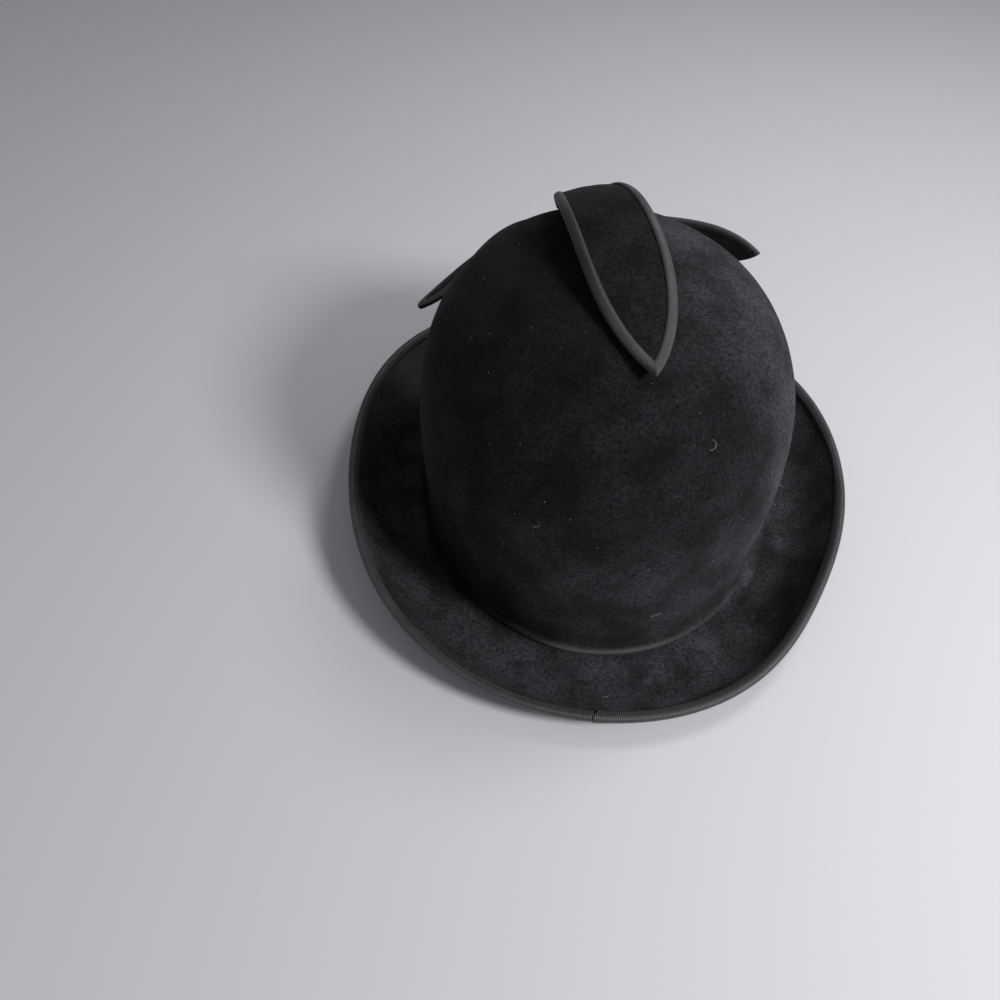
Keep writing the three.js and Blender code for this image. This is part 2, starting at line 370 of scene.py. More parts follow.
hat = {
    "wall": 2.2,
    "centre": np.array([-3.6, -1.65, 2.8]),
    "halfWidth": 83.0,
    "halfLength": 98.0,
    "height": 136.0,
    "fullness": 5.2,
    "swell": 0.01,
    "bendRadius": 9.0,
    "tighterBehind": 3.0,
    "edgeInset": 0.9,         # room for the ribbon's fold at the cut edge
    "edgeBulge": 0.4,
    "unevenness": ((0.15, 42, 11), (0.03, 12, 12)),   # height, scale, seed
    "calmEdge": 0.25,         # share of the brim where that dies out
    "normalStep": 0.004,      # steps of along and of the angle that directions are read from
    "paceStep": 0.01,
    "sectors": 300,
    "crownRows": 124,
    "bendRows": 44,
    "brimRows": 30,
    "edgeRows": 5,
    "innerRows": 72,
    "innerCrownShare": 0.3,
}
brim = {
    "halfWidth": 124.7,
    "halfLength": 135.5,
    "shiftX": 1.4,
    "shiftY": 3.3,
    "edgeHeight": 12.2,
    "sideLift": 11.5,
    "frontLift": 1.9,
    "leftLift": 3.3,
    "rollStart": 0.3,
    "dip": 1.5,
    "waves": ((3, 0.022, 14.7), (4, 0.018, 35.1)),   # count, share of the reach, where the first crest is
    "kinkDepth": 3.6,
    "kinkAt": -41.0,
    "kinkSpread": 19.5,
}
# The crease at the crown's foot. Places are along the section, as hatPoint gives them.
crease = {
    "rise": 0.8, "groove": 0.5,
    "start": 0.94, "crest": 1.38, "bottom": 1.50, "end": 1.85,
    "from": -168.0, "to": -32.0, "fade": 26.0,
    "waver": ((4, 0.03), (11, 0.015)),                # count, reach
    "wornWidth": 0.17, "wornAbove": 0.06, "wornShare": 0.95,
    "wornFrom": -118.0, "wornFade": 16.0, "wornTo": -34.0, "wornFadeTo": 20.0,
    "paleFrom": -85.0, "paleTo": -60.0, "paleLoss": 0.7,
}
# How far the felt takes its paler tone: shares from 0 to 1, and the places where each one starts and is
# full, in millimetres from the middle of the crown's base. Places along the section are as hatPoint's.
# laid is the even share, and foot and brim make the crown's foot and the brim paler. The rest paint light
# and shade: rightFlank and rightTop are painted sheen where the crown's right side and top right catch the
# lamps; rightShade, leftTop and leftSide are painted shade on the crown; brimDark is painted shade on one
# stretch of the brim; and brimPale is a painted pool of light on the brim, put into the wear tone.
nap = {
    "laid": 0.16,
    "rightFlank": 0.90, "rightLean": 0.35, "rightAcross": (16, 50),
    "rightTop": 0.50, "rightTopAcross": (2, 34), "rightTopUp": (117, 132),
    "rightShade": -0.08, "shadeAcross": (-2, 14), "shadeEnd": (8, 24), "shadeUp": (85, 105),
    "foot": 0.51, "footUp": (45, 95), "footAcross": (-70, -15),
    "leftTop": -0.16, "leftTopAcross": (-8, 22), "leftTopUp": (100, 128),
    "leftSide": -0.16, "leftAcross": (58, 78),
    "brim": 0.97, "brimAlong": (1.45, 2.0),
    "brimDark": 0.66, "brimDarkAt": -42.0, "brimDarkSpread": 20.0,
    "brimPale": 0.42, "brimPaleAt": 141.0, "brimPaleSpread": 14.0, "brimPaleAlong": (2.3, 2.7),
}


# The brim's edge at an angle: an oval with two slow waves and one kink. It is highest at the sides, more
# so at the left, and a little higher at the front than at the back.
def brimEdge(angle):
    share = np.ones_like(angle)
    for count, size, firstCrest in brim["waves"]:
        share = share + size * np.cos(count * (angle - math.radians(firstCrest)))
    turn = np.mod(angle - math.radians(brim["kinkAt"]) + np.pi, 2 * np.pi) - np.pi
    dent = brim["kinkDepth"] * np.exp(-(turn / math.radians(brim["kinkSpread"])) ** 2)
    lift = brim["sideLift"] * np.cos(angle) ** 2 + brim["frontLift"] * np.sin(angle)
    return np.stack([
        brim["shiftX"] + (brim["halfWidth"] * share - dent) * np.cos(angle),
        brim["shiftY"] + (brim["halfLength"] * share - dent) * np.sin(angle),
        brim["edgeHeight"] + lift - brim["leftLift"] * np.cos(angle),
    ], -1)


# The hat's upper face. along runs from 0 at the crown's top to 1 at the foot of its wall, on to 2 round
# a quarter circle, and to 3 at the brim's edge. The wall is an oval that narrows as the root of one
# minus a high power of the height, and swells slightly halfway up. The brim rises with the square of
# the way out, after a slight dip.
def hatPoint(along, angle):
    along, angle = np.broadcast_arrays(along, angle)
    oval = np.stack([hat["halfWidth"] * np.cos(angle), hat["halfLength"] * np.sin(angle)], -1)
    radius = hat["bendRadius"] + hat["tighterBehind"] * np.sin(angle)
    height = radius + (hat["height"] - radius) * np.sin((1 - np.clip(along, 0, 1)) * np.pi / 2)
    share = np.clip(height / hat["height"], 0, 1)
    narrow = np.sqrt(1 - share ** hat["fullness"]) * (1 + hat["swell"] * np.sin(np.pi * share))
    foot = oval * narrow[..., None]
    edge = brimEdge(angle)
    outward = edge[..., :2] - foot
    reach = np.linalg.norm(outward, axis=-1)
    turn = np.clip(along - 1, 0, 1) * np.pi / 2
    bendShare = radius / reach
    way = np.clip(along - 2, 0, None)
    out = np.where(along > 2, bendShare + (1 - bendShare) * way, bendShare * (1 - np.cos(turn)))
    out = np.where(along > 1, out, 0)
    rolled = np.maximum((out - brim["rollStart"]) / (1 - brim["rollStart"]), 0) ** 2
    roll = edge[..., 2] * rolled - brim["dip"] * np.sin(np.pi * way)
    z = np.where(along > 2, roll, np.where(along > 1, radius * (1 - np.sin(turn)), height))
    return np.concatenate([foot + outward * out[..., None], z[..., None]], -1)


# The outward direction of the upper face, from short steps along it and round it.
def hatNormal(along, angle):
    step = hat["normalStep"]
    down = hatPoint(along + step, angle) - hatPoint(np.maximum(along - step, 0), angle)
    around = hatPoint(along, angle + step) - hatPoint(along, angle - step)
    normal = np.cross(down, around)
    return normal / np.linalg.norm(normal, axis=-1)[..., None]


# A place at a depth under the upper face. The felt's own weight presses the lowest of it flat.
def feltPoint(along, angle, depth):
    along, angle, depth = np.broadcast_arrays(along, angle, depth)
    point = hatPoint(along, angle) - hatNormal(along, angle) * depth[..., None] + hat["centre"]
    point[..., 2] = np.maximum(point[..., 2], 0)
    return point


# How far the brim's section runs at its edge for each unit of along.
def edgePace(angle):
    step = hat["paceStep"]
    way = hatPoint(np.full_like(angle, 3.0), angle) - hatPoint(np.full_like(angle, 3.0 - step), angle)
    return np.linalg.norm(way, axis=-1) / step


# How far the crease lifts the felt, and how worn it is there. A soft ridge runs round the bend, drops
# sharply into a groove and comes back to the brim, and it fades out towards the front. Its angles run
# from -270 to 90 degrees, so that they break at the front.
def footCrease(along, angle):
    behind = np.degrees(np.mod(angle + 1.5 * np.pi, 2 * np.pi) - 1.5 * np.pi)
    shown = ramp(behind, crease["from"], crease["from"] + crease["fade"])
    shown = shown * (1 - ramp(behind, crease["to"] - crease["fade"], crease["to"]))
    place = along + sum(reach * np.sin(count * angle) for count, reach in crease["waver"])
    up = crease["rise"] * ramp(place, crease["start"], crease["crest"])
    drop = (crease["rise"] + crease["groove"]) * ramp(place, crease["crest"], crease["bottom"])
    back = crease["groove"] * ramp(place, crease["bottom"], crease["end"])
    offCrest = (place - crease["crest"] + crease["wornAbove"]) / crease["wornWidth"]
    wearAndPaintedLight = np.exp(-offCrest ** 2) * crease["wornShare"]
    wearAndPaintedLight = wearAndPaintedLight * ramp(behind, crease["wornFrom"], crease["wornFrom"] + crease["wornFade"])
    wearAndPaintedLight = wearAndPaintedLight * (1 - crease["paleLoss"] * ramp(behind, crease["paleFrom"], crease["paleTo"]))
    wearAndPaintedLight = wearAndPaintedLight * (1 - ramp(behind, crease["wornTo"] - crease["wornFadeTo"], crease["wornTo"]))
    return (up - drop + back) * shown, wearAndPaintedLight * (place < crease["bottom"])


# How far the upper face stands off its even shape, and how much of the pale tone it takes: wear along the
# crease, and a painted pool of light on the brim. The unevenness dies out towards the brim's edge.
def feltRelief(points, along, angle):
    calm = np.clip((3 - along) / hat["calmEdge"], 0, 1)
    soft = sum(height * unevenness(points, scale, seed) for height, scale, seed in hat["unevenness"])
    lift, wearAndPaintedLight = footCrease(along, angle)
    # A painted pool of light on the brim's left, where the back lamp reaches past the crown.
    turn = turnFrom(angle, nap["brimPaleAt"]) / nap["brimPaleSpread"]
    pale = nap["brimPale"] * np.exp(-turn ** 2) * ramp(along, *nap["brimPaleAlong"])
    return lift + soft * calm, wearAndPaintedLight + pale


# How far the felt takes its paler tone, from 0 to 1: little on the crown's top and left, where it paints
# shade, more on its right flank and top, where it paints sheen, and round its foot, less at the right of
# its middle, where it paints shade, and most on the brim, apart from one stretch of painted shade.
def paleNapAndLightShare(points, along, angle):
    place = points - hat["centre"]
    x, y, z = place[..., 0], place[..., 1], place[..., 2]
    slanted = x + nap["rightLean"] * y
    shade = ramp(x, *nap["shadeAcross"]) * (1 - ramp(slanted, *nap["shadeEnd"])) * ramp(z, *nap["shadeUp"])
    crown = nap["laid"] + nap["rightFlank"] * ramp(slanted, *nap["rightAcross"])
    crown = crown + nap["foot"] * (1 - ramp(z, *nap["footUp"])) * ramp(x, *nap["footAcross"])
    crown = crown + nap["rightTop"] * ramp(x, *nap["rightTopAcross"]) * ramp(z, *nap["rightTopUp"])
    crown = crown + nap["rightShade"] * shade
    crown = crown + nap["leftTop"] * ramp(-x, *nap["leftTopAcross"]) * ramp(z, *nap["leftTopUp"])
    crown = crown + nap["leftSide"] * ramp(-x, *nap["leftAcross"])
    # Painted shade on one stretch of the brim.
    turn = turnFrom(angle, nap["brimDarkAt"])
    brimNap = nap["brim"] - nap["brimDark"] * np.exp(-(turn / nap["brimDarkSpread"]) ** 2)
    share = ramp(along, *nap["brimAlong"])
    return np.clip(crown + (brimNap - crown) * share, 0, 1)


# One closed shell: rings from the crown's top down the outside, round the brim's edge and back up
# inside, each ring all the way round, with a pole at both ends.
def makeFelt():
    angle = np.linspace(0, 2 * np.pi, hat["sectors"], endpoint=False)[None, :]
    pace = edgePace(angle)
    lastAlong = 3 - hat["edgeInset"] / pace
    wallRows = np.linspace(0, 1, hat["crownRows"] + 1)[1:]
    bendRows = np.linspace(1, 2, hat["bendRows"] + 1)[1:]
    brimShares = np.linspace(0, 1, hat["brimRows"] + 1)[1:, None]
    outer = np.concatenate([
        np.repeat(np.concatenate([wallRows, bendRows])[:, None], hat["sectors"], 1),
        2 + (lastAlong - 2) * brimShares,
    ])
    turn = np.linspace(0, np.pi, hat["edgeRows"] + 2)[1:-1, None]
    edgeAlong = lastAlong + np.sin(turn) * hat["edgeBulge"] / pace
    edgeDepth = hat["wall"] * (1 - np.cos(turn)) / 2
    innerShares = np.linspace(1, 0, hat["innerRows"] + 1)[:-1, None]
    crownShare = hat["innerCrownShare"]
    innerBrim = 1 + (lastAlong - 1) * (innerShares - crownShare) / (1 - crownShare)
    inner = np.where(innerShares > crownShare, innerBrim, innerShares / crownShare)
    along = np.concatenate([outer, edgeAlong, inner])
    depth = np.concatenate([np.zeros((len(outer), 1)), edgeDepth, np.full((len(inner), 1), hat["wall"])])
    points = feltPoint(along, angle, depth)
    relief, wearAndPaintedLight = feltRelief(points, along, angle)
    paleNapAndLight = paleNapAndLightShare(points, along, angle + 0 * along)
    points += hatNormal(along, angle + 0 * along) * (relief * (depth == 0))[..., None]
    rings = len(along)
    top = hat["centre"] + [0, 0, hat["height"]]
    inside = top - [0, 0, hat["wall"]]
    everyPoint = np.concatenate([points.reshape(-1, 3), [top], [inside]])
    ring = np.arange(hat["sectors"])
    faces = [
        ringQuads(rings, hat["sectors"]),
        poleFan(rings * hat["sectors"], ring, inwards=True),
        poleFan(rings * hat["sectors"] + 1, (rings - 1) * hat["sectors"] + ring),
    ]
    shares = {
        "wearAndPaintedLight": np.concatenate([(wearAndPaintedLight * (depth == 0)).ravel(), [0.0, 0.0]]),
        "paleNapAndLight": np.concatenate([paleNapAndLight.ravel(), [nap["laid"], nap["laid"]]]),
    }
    buildPiece("velourBody", everyPoint, faces, felt, ["crown_and_brim"], shares=shares)


makeFelt()


# Lint

# A fibre has its place along the section, its angle round the hat, its heading and how far it curls, in
# degrees, and its length.
lint = {
    "seed": 31,
    "flecks": 500,
    "fleckHalf": (0.24, 0.14, 0.11),
    "leastSize": 0.45, "sizeSpread": 0.85,
    "onCrown": 0.7,           # share of the flecks
    "crownEnd": 0.95, "brimAlong": (2.0, 2.8),
    "fibreRadius": 0.06,
    "fibreHeight": 0.12,
    "fibreArch": 0.25, "archFrom": 115.0,
    "fibreSteps": 24, "fibreSides": 5,
    "fibres": (
        (0.876, -82.5, 12.0, 40.0, 5.0),
        (0.419, -69.5, 60.0, 190.0, 6.0),
        (2.335, -4.0, 95.0, 150.0, 5.0),
        (0.62, -118.0, 40.0, 80.0, 3.5),
        (2.52, -95.0, 20.0, 130.0, 4.0),
        (0.55, 35.0, -30.0, 170.0, 4.0),
        (0.70, 140.0, 70.0, 90.0, 3.5),
    ),
}


# A place on the felt's upper face as it is finished, and there the directions round the hat, down the
# felt and out of it.
def onFelt(along, angle):
    along, angle = np.broadcast_arrays(along, angle)
    out = hatNormal(along, angle)
    base = feltPoint(along, angle, np.zeros(along.shape))
    relief, _ = feltRelief(base, along, angle)
    step = hat["normalStep"]
    around = hatPoint(along, angle + step) - hatPoint(along, angle - step)
    around /= np.linalg.norm(around, axis=-1)[..., None]
    return base + out * relief[..., None], around, np.cross(out, around), out


# Lint flecks are small eight-sided grains, long along a random heading, half sunk in the nap. Corners
# 0 to 3 lie round a grain, 4 is its top and 5 its bottom.
def makeFlecks():
    rng = np.random.default_rng(lint["seed"])
    count = lint["flecks"]
    onCrown = rng.random(count) < lint["onCrown"]
    crownAlong = np.sqrt(rng.random(count)) * lint["crownEnd"]
    along = np.where(onCrown, crownAlong, rng.uniform(*lint["brimAlong"], count))
    place, around, down, out = onFelt(along, rng.uniform(0, 2 * np.pi, count))
    heading = rng.uniform(0, np.pi, count)[:, None]
    size = lint["leastSize"] + lint["sizeSpread"] * rng.random(count)[:, None] ** 2
    length, width, height = (half * size for half in lint["fleckHalf"])
    forwards = around * np.cos(heading) + down * np.sin(heading)
    sideways = np.cross(out, forwards)
    ends = [forwards * length, sideways * width, -forwards * length, -sideways * width]
    corners = np.stack(ends + [out * height, -out * height], 1)
    points = (place[:, None, :] + corners).reshape(-1, 3)
    upper = [(0, 1, 4), (1, 2, 4), (2, 3, 4), (3, 0, 4)]
    lower = [(1, 0, 5), (2, 1, 5), (3, 2, 5), (0, 3, 5)]
    faces = np.array(upper + lower)[None] + 6 * np.arange(count)[:, None, None]
    buildPiece("lintFlecks", points, [faces.reshape(-1, 3)], lintFibre)


# Lint fibres are thin tubes that lie on the nap along arcs, closed at both ends. The ones that curl
# most arch up in the middle.
def makeFibres():
    along, angle, heading, curl, length = np.array(lint["fibres"]).T[:, :, None]
    arched = curl > lint["archFrom"]
    angle, heading, curl = np.radians([angle, heading, curl])
    steps, sides = lint["fibreSteps"], lint["fibreSides"]
    place, around, down, out = onFelt(along, angle)
    share = np.linspace(0, 1, steps)[None, :]
    turned = heading + curl * (share - 0.5)
    pace = length / (steps - 1)
    right = np.cumsum(np.cos(turned), 1) * pace
    below = np.cumsum(np.sin(turned), 1) * pace
    height = lint["fibreHeight"] + lint["fibreArch"] * np.sin(np.pi * share) ** 2 * arched
    line = place + around * right[..., None] + down * below[..., None] + out * height[..., None]
    forwards = around * np.cos(turned)[..., None] + down * np.sin(turned)[..., None]
    sideways = np.cross(out + 0 * forwards, forwards)
    spin = np.linspace(0, 2 * np.pi, sides, endpoint=False)
    upwards = out + 0 * forwards
    ring = sideways[:, :, None] * np.cos(spin)[:, None] + upwards[:, :, None] * np.sin(spin)[:, None]
    tubes = line[:, :, None] + ring * lint["fibreRadius"]
    tubePoints = steps * sides
    wall = ringQuads(steps, sides)
    first = np.arange(sides)
    start = poleFan(tubePoints, first, inwards=True)
    end = poleFan(tubePoints + 1, tubePoints - sides + first)
    points = np.concatenate([tubes.reshape(len(line), -1, 3), line[:, [0, -1]]], 1)
    starts = (tubePoints + 2) * np.arange(len(line))[:, None, None]
    faces = [(part[None] + starts).reshape(-1, part.shape[1]) for part in (wall, start, end)]
    buildPiece("lintFibres", points.reshape(-1, 3), faces, lintFibre)


makeFlecks()
makeFibres()


# Ribbon

fold = {
    "brimWidth": 5.0,
    "petalWidth": 4.0,
    "wall": 0.45,
    "gap": 0.12,
    "bulge": 0.24, "bulgePower": 0.8,
    "brimPress": 0.06,        # how far a selvedge is sewn down
    "petalPress": 0.42,
    "pressPower": 4,
    "waver": ((0.18, 23.0, 0.0), (0.12, 7.3, 1.0)),   # reach, run and start of the selvedge's waves
    "waverFrom": 3.5,
    "slim": 0.42,             # the brim's binding takes less felt in along one stretch
    "slimFrom": 1.2, "slimAt": -3.0, "slimSpread": 11.0,
    "flatPoints": 4,
    "turnPoints": 7,
    "ribDepth": 0.13,
    "stepsPerRib": 4,
    "brimReadings": 4001,     # points of an edge that its length is read from
    "petalReadings": 6001,
}


# The section of a ribbon folded over felt, as inset from the edge and rise over the felt's middle. It
# runs flat from the upper selvedge, round a half circle and back to the lower one, and bulges a little.
# Also gives the outward direction there.
def ribbonSection(feltWall, width, press, depth):
    radius = feltWall / 2 + fold["gap"] + fold["wall"] - depth
    flat = np.linspace(width, radius, fold["flatPoints"], endpoint=False)
    turn = np.linspace(np.pi / 2, -np.pi / 2, fold["turnPoints"])
    inset = np.concatenate([flat, radius + depth - radius * np.cos(turn), flat[::-1]])
    above = np.full(len(flat), radius)
    rise = np.concatenate([above, radius * np.sin(turn), -above])
    share = np.clip((width - inset) / (width - radius), 0, 1)
    swell = fold["bulge"] * np.sin(np.pi * share ** fold["bulgePower"])
    swell = swell - press * (1 - share) ** fold["pressPower"]
    rise = rise + np.sign(rise) * swell * (depth == 0)
    outward = np.stack([np.gradient(rise), -np.gradient(inset)], -1)
    outward /= np.linalg.norm(outward, axis=1)[:, None]
    outward *= np.sign((outward * np.stack([-1 + 0 * rise, rise], -1)).sum(1))[:, None]
    return inset, rise, outward


# How high a rib stands at each place of a run, from 0 to 1, as a cosine wave.
def ribHeight(run):
    return 0.5 + 0.5 * np.cos(2 * np.pi * run / ribbonLook["ribPitchMm"])


# The closed section of a ribbed ribbon at each station: the outer face, raised at each rib, then the
# inner face back to the start. Gives inset and rise, one row for each station.
def ribbonRows(feltWall, width, press, ribs, lift):
    inset, rise, outward = ribbonSection(feltWall, width, press, 0.0)
    innerInset, innerRise, innerOutward = ribbonSection(feltWall, width, press, fold["wall"])
    raised = ribs * fold["ribDepth"] + lift
    outerInset = inset + raised * outward[:, 0]
    outerRise = rise + raised * outward[:, 1]
    backInset = innerInset + lift * innerOutward[:, 0]
    backRise = innerRise + lift * innerOutward[:, 1]
    keep = slice(None, None, 2)
    rows = (outerInset, backInset[:, ::-1][:, keep])
    rises = (outerRise, backRise[:, ::-1][:, keep])
    return np.concatenate(rows, 1), np.concatenate(rises, 1)


join = {
    "at": -97.5,        # degrees round the brim
    "slant": 3.2,       # how far the folded end leans back at its selvedges
    "lift": 0.42,       # how far it stands over the other end
    "liftRun": 5.0,     # how soon that lift and that slant die out
    "slantRun": 4.0,
    "lap": 0.5,
}


# Closes both ends of a strip whose section has its outer points first and every second one, backwards,
# as its inner points.
def stripCaps(rows, columns, outerColumns):
    innerColumns = columns - outerColumns
    k = np.arange(innerColumns - 1)
    inner = columns - 1 - k
    outer = 2 * k
    quads = np.stack([outer, outer + 2, inner - 1, inner], -1)
    slivers = np.stack([outer, outer + 1, outer + 2], -1)
    last = (rows - 1) * columns
    return [quads[:, ::-1], slivers[:, ::-1], quads + last, slivers + last]


# The brim's binding is one strip that starts at its join and runs once round. The end that it starts
# with is folded at a slant and lies over the end that it stops with.
def makeBrimBinding():
    dense = np.linspace(0, 2 * np.pi, fold["brimReadings"]) + math.radians(join["at"])
    edge = feltPoint(np.full_like(dense, 3.0), dense, np.full_like(dense, hat["wall"] / 2))
    way = np.concatenate([[0], np.cumsum(np.linalg.norm(np.diff(edge, axis=0), axis=1))])
    total = way[-1]
    stations = int(total / ribbonLook["ribPitchMm"] * fold["stepsPerRib"])
    inset, _, _ = ribbonSection(hat["wall"], fold["brimWidth"], fold["brimPress"], 0.0)
    outerColumns = len(inset)
    lean = np.concatenate([inset, inset[::-1][::2]]) / fold["brimWidth"]
    columns = len(lean)
    run = np.linspace(0, total + join["lap"], stations)[:, None]
    near = np.exp(-run / join["liftRun"])
    run = run + join["slant"] * lean[None, :] * np.exp(-run / join["slantRun"])
    ribs = ribHeight(run[:, :outerColumns])
    lift = join["lift"] * near
    rowInset, rowRise = ribbonRows(hat["wall"], fold["brimWidth"], fold["brimPress"], ribs, lift)
    waver = sum(reach * np.sin(run / period + start) for reach, period, start in fold["waver"])
    rowInset = rowInset * (1 + waver * (rowInset > fold["waverFrom"]) / fold["brimWidth"])
    angle = np.interp(run, way, dense)
    slim = fold["slim"] * np.exp(-(turnFrom(angle, fold["slimAt"]) / fold["slimSpread"]) ** 2)
    rowInset = rowInset - slim * np.maximum(rowInset - fold["slimFrom"], 0)
    angle = angle + (run > total) * (run - total) * (dense[1] - dense[0]) / (way[1] - way[0])
    points = feltPoint(3 - rowInset / edgePace(angle), angle, hat["wall"] / 2 - rowRise)
    quads = ringQuads(stations, columns)
    caps = stripCaps(stations, columns, outerColumns)
    ribbonMap = np.stack([run, np.broadcast_to(lean[None, :], run.shape)], -1).reshape(-1, 2)
    buildPiece("brimRibbon", points.reshape(-1, 3), [quads, *caps], ribbon,
               ["brim_binding"], ribbonMap)


makeBrimBinding()


# Petals

petalLook = {
    "wall": 1.5,
    "heart": np.array([0.0, 0.0, 40.0]),
    "rootRounding": 0.07,
    "tipMitre": 1.7,
    "edgeInset": 0.75,
    "edgePower": 8, "leastEdge": 0.04,       # how the wall thins to its cut edge
    "firstShare": 0.0006, "shareRun": 0.997,
    "unevenness": ((0.10, 14, 21), (0.05, 5, 22)),    # height, scale, seed
    "calmEdge": 4.0, "calmFade": 3.0,
    # How the painted shade on a petal's ribbon fades in and out.
    "paintedShadeFadeIn": 0.15, "paintedShadeFadeOut": 0.25,
    "spineReadings": 801,
    "columns": 26,
    "paleNapAndLight": 0.11,
}
# Spine points are measured from the middle of the crown's base, root first. paleUnder is painted light:
# how much paler the underside is made, where it lies in shade. The three entries after it are painted
# shade: how dark the ribbon is made on its left and right side, and the two shares of the petal's length
# between which it is.
petals = [
    {
        "name": "petal_back",
        "spine": ((-3.5, 84.8, 108.5), (-8.4, 53.4, 151.4), (-3.5, 12.3, 154.2), (0.1, -15.1, 150.7),
                  (5.7, -38.6, 129.2), (4.5, -61.5, 130.8)),
        "halfWidth": 17.1, "rootShare": 0.59, "widest": 0.53, "tipPower": 3.2,
        "rootTurn": 4.5, "tipTurn": 3.0, "cup": 2.1, "rows": 150, "paleUnder": 0.0,
        "paintedShade": (0.95, 0.0), "paintedShadeFrom": 0.35, "paintedShadeTo": 0.92,
    },
    {
        "name": "petal_left",
        "spine": ((-13, 90.6, 96.5), (-49.1, 101, 96.7), (-68.6, 73.1, 70.1), (-82.9, 47.2, 82.1)),
        "halfWidth": 12.7, "rootShare": 0.62, "widest": 0.41, "tipPower": 3.6,
        "rootTurn": -3.8, "tipTurn": -39.4, "cup": 1.0, "rows": 110, "paleUnder": 0.0,
        "paintedShade": (0.90, 0.90), "paintedShadeFrom": -1.0, "paintedShadeTo": 1.5,
    },
    {
        "name": "petal_right",
        "spine": ((3, 93.1, 95.3), (48.3, 98.1, 87.1), (74.5, 69, 95.8), (79.7, 55.2, 100)),
        "halfWidth": 12.3, "rootShare": 0.62, "widest": 0.44, "tipPower": 3.0,
        "rootTurn": -2.4, "tipTurn": -18.5, "cup": 1.1, "rows": 110, "paleUnder": 0.6,
        "paintedShade": (0.0, 0.0), "paintedShadeFrom": -1.0, "paintedShadeTo": 1.0,
    },
]


# A leaf's half width at a share of its length: it widens as a quarter sine, closes as a power of the
# way to the tip, and is rounded at the root.
def leafShare(petal, share):
    spread = np.sin(np.minimum(share / petal["widest"], 1) * np.pi / 2)
    spread = petal["rootShare"] + (1 - petal["rootShare"]) * spread
    closing = np.maximum((share - petal["widest"]) / (1 - petal["widest"]), 0) ** petal["tipPower"]
    rounding = np.sqrt(1 - np.maximum(1 - share / petalLook["rootRounding"], 0) ** 2)
    return spread * (1 - closing) * rounding


# A curve shaped by a few points by de Casteljau's rule, read by its length. Gives places and directions.
def spineReader(petal):
    t = np.linspace(0, 1, petalLook["spineReadings"])[:, None]
    layers = [np.array(point, float) * np.ones_like(t) for point in petal["spine"]]
    while len(layers) > 1:
        layers = [a + (b - a) * t for a, b in zip(layers[:-1], layers[1:])]
    line = layers[0]
    steps = np.linalg.norm(np.diff(line, axis=0), axis=1)
    way = np.concatenate([[0], np.cumsum(steps)])
    headings = np.gradient(line, way, axis=0)

    def read(distance):
        place = np.stack([np.interp(distance, way, line[:, k]) for k in range(3)], -1)
        heading = np.stack([np.interp(distance, way, headings[:, k]) for k in range(3)], -1)
        return place, heading / np.linalg.norm(heading, axis=-1)[..., None]

    return read, way[-1]


# Bends points of the flat leaf into place. The leaf is carried along the spine, faces away from the
# hat's heart, turns slowly about the spine, and is cupped as a parabola across it.
def bender(petal):
    read, length = spineReader(petal)

    def bent(x, y, rise):
        x, y, rise = np.broadcast_arrays(x, y, rise)
        share = np.clip(x / length, 0, 1)
        middle, tangent = read(share * length)
        side = np.cross(tangent, middle - petalLook["heart"])
        side /= np.linalg.norm(side, axis=-1)[..., None]
        turn = np.radians(petal["rootTurn"] + (petal["tipTurn"] - petal["rootTurn"]) * share)[..., None]
        side = side * np.cos(turn) + np.cross(tangent, side) * np.sin(turn)
        up = np.cross(side, tangent)
        across = y / petal["halfWidth"]
        slope = np.arctan(2 * petal["cup"] * across / petal["halfWidth"])
        sideways = y + rise * np.sin(slope)
        upwards = rise * np.cos(slope) - petal["cup"] * across ** 2
        return middle + side * sideways[..., None] + up * upwards[..., None] + hat["centre"]

    return bent, length


# The place on a leaf's edge, or on a line inset from it, at a share of its length. The line starts at
# the inset and stops short of the tip by the inset times the mitre, and is narrower by the inset.
def leafPlace(petal, length, inset, share):
    x = inset + (length - inset * (1 + petalLook["tipMitre"])) * share
    return x, (petal["halfWidth"] - inset) * leafShare(petal, share)


